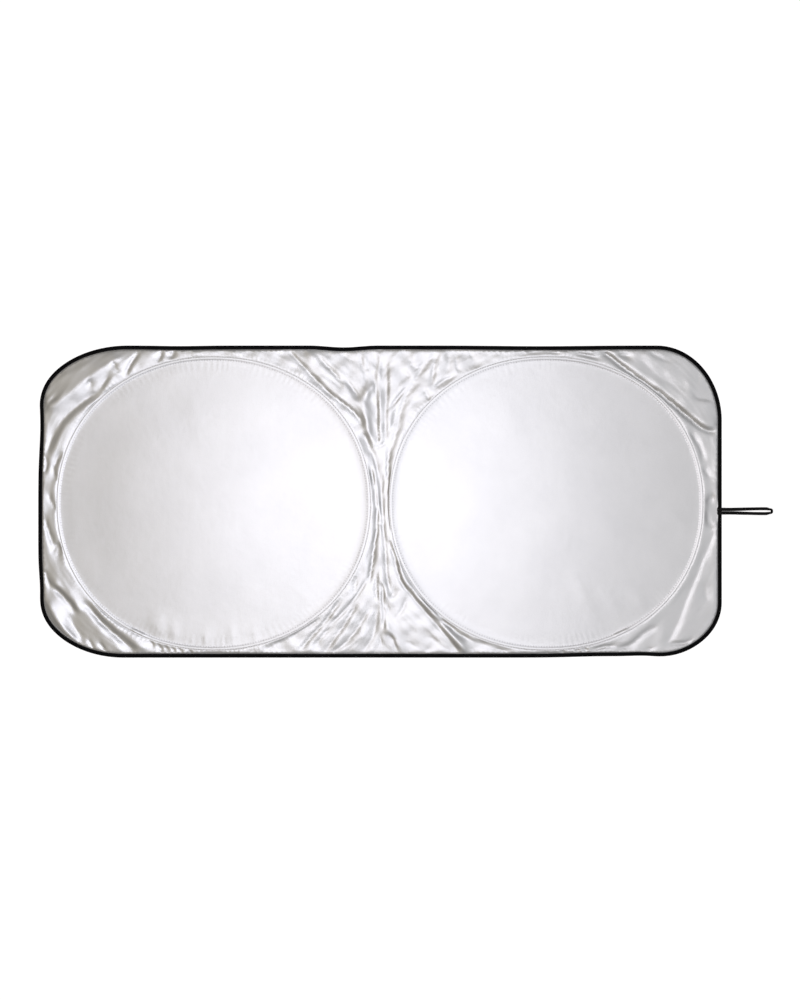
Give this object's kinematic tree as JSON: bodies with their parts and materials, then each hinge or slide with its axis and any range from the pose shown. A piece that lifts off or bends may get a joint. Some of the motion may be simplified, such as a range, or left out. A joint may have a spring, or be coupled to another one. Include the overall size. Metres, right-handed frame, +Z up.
{
  "type": "car windscreen sunshade",
  "caption": "Pop-up windscreen sunshade: silver-coated cloth over twin sprung hoops, bound in black tape, with an elastic loop at one end.",
  "frame": {"origin": "middle of the fold line between the two hoops, on the surface that the shade lies on", "axes": "+X along the shade towards the elastic loop, +Y across it, +Z up out of the silver face"},
  "size_m": [1.612, 0.685, 0.0157],
  "materials": {
    "silver_cloth": "silver-coated satin",
    "spring_steel": "drawn wire",
    "casing_tape": "plain woven tape",
    "black_binding": "matt woven tape",
    "black_elastic": "braided elastic"
  },
  "bodies": {
    "root": {"shade_cloth": "silver_cloth", "left_ring_wire": "spring_steel", "right_ring_wire": "spring_steel", "left_ring_ferrule": "spring_steel", "right_ring_ferrule": "spring_steel", "left_ring_sleeve": "casing_tape", "right_ring_sleeve": "casing_tape", "edge_binding": "black_binding", "elastic_loop": "black_elastic"}
  },
  "joints": []
}
